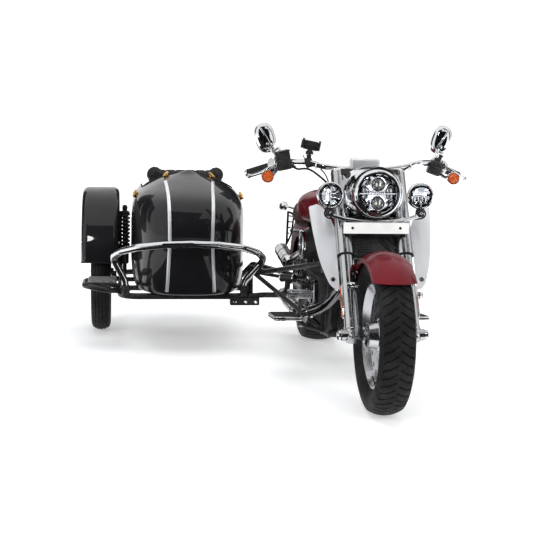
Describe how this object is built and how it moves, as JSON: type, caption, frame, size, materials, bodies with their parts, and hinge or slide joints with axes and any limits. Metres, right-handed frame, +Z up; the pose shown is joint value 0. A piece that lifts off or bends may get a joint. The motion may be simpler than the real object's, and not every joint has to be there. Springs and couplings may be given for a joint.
{
  "type": "sidecar motorcycle",
  "caption": "Heavy cruiser motorcycle with a single-seat sidecar on the rider's right, with steering, free-turning wheels and a folding side stand",
  "frame": {"origin": "Ground level, at the middle of the whole vehicle's bounding box seen from above", "axes": "+Z up, -Y is the driving direction, +X is the rider's left; the sidecar is on the -X side"},
  "size_m": [1.7552, 2.711, 1.1547],
  "materials": {
    "tyre": "matte",
    "polished_wheel": "polished",
    "chrome": "mirror polished",
    "polished_fork": "polished",
    "silver_paint": "metallic gloss",
    "lamp_chrome": "polished",
    "plate_white": "satin",
    "black_metal": "gloss",
    "amber_lens": "gloss",
    "black_plastic": "matte",
    "red_paint": "metallic gloss",
    "engine_alloy": "satin",
    "exhaust_steel": "brushed",
    "brown_leather": "quilted",
    "black_paint": "gloss",
    "black_leather": "semi-gloss"
  },
  "bodies": {
    "chassis": {"air_cleaner": "chrome", "bumper_hoop": "chrome", "cylinder_front": "engine_alloy", "cylinder_rear": "engine_alloy", "engine_block": "engine_alloy", "exhaust_front": "exhaust_steel", "exhaust_rear": "exhaust_steel", "footboard_left": "black_metal", "footboard_right": "black_metal", "fuel_tank": "red_paint", "lower_strut": "black_metal", "main_frame": "black_metal", "rear_fender": "red_paint", "rear_strut": "black_metal", "rider_seat": "brown_leather", "sidecar_body": "black_paint", "sidecar_fender": "black_paint", "sidecar_frame": "black_metal", "sidecar_seat": "black_leather", "sidecar_shock": "black_metal", "sidecar_step": "black_metal", "swingarm": "black_metal", "upper_strut": "black_metal"},
    "steering": {"fork_left": "polished_fork", "fork_right": "polished_fork", "triple_clamp": "chrome", "headlamp_nacelle": "silver_paint", "headlamp": "lamp_chrome", "fog_lamp_left": "lamp_chrome", "fog_lamp_right": "lamp_chrome", "light_bar": "chrome", "number_plate": "plate_white", "handlebar": "chrome", "lever_left": "black_metal", "lever_right": "black_metal", "mirror_left": "chrome", "mirror_right": "chrome", "turn_signal_left": "amber_lens", "turn_signal_right": "amber_lens", "phone_holder": "black_plastic", "front_fender": "red_paint", "leg_deflector_left": "silver_paint", "leg_deflector_right": "silver_paint"},
    "front_wheel": {"front_tyre": "tyre", "front_rim": "polished_wheel"},
    "rear_wheel": {"rear_tyre": "tyre", "rear_rim": "polished_wheel"},
    "sidecar_wheel": {"sidecar_tyre": "tyre", "sidecar_rim": "chrome"},
    "side_stand": {"side_stand": "black_metal"}
  },
  "joints": [
    {"name": "steering_hinge", "type": "hinge", "parent": "chassis", "child": "steering", "pos_m": [0.3794, -0.74461, 0.7], "axis": [0, 0.5299, 0.848], "range_deg": [-30, 30]},
    {"name": "front_wheel_spin", "type": "hinge", "parent": "steering", "child": "front_wheel", "pos_m": [0.3794, -1.0345, 0.321], "axis": [1, 0, 0], "continuous": true},
    {"name": "rear_wheel_spin", "type": "hinge", "parent": "chassis", "child": "rear_wheel", "pos_m": [0.3794, 0.6005, 0.326], "axis": [1, 0, 0], "continuous": true},
    {"name": "sidecar_wheel_spin", "type": "hinge", "parent": "chassis", "child": "sidecar_wheel", "pos_m": [-0.7776, 0.9285, 0.322], "axis": [1, 0, 0], "continuous": true},
    {"name": "side_stand_fold", "type": "hinge", "parent": "chassis", "child": "side_stand", "pos_m": [0.5194, -0.2445, 0.196], "axis": [-1, 0, 0], "range_deg": [0, 85]}
  ]
}
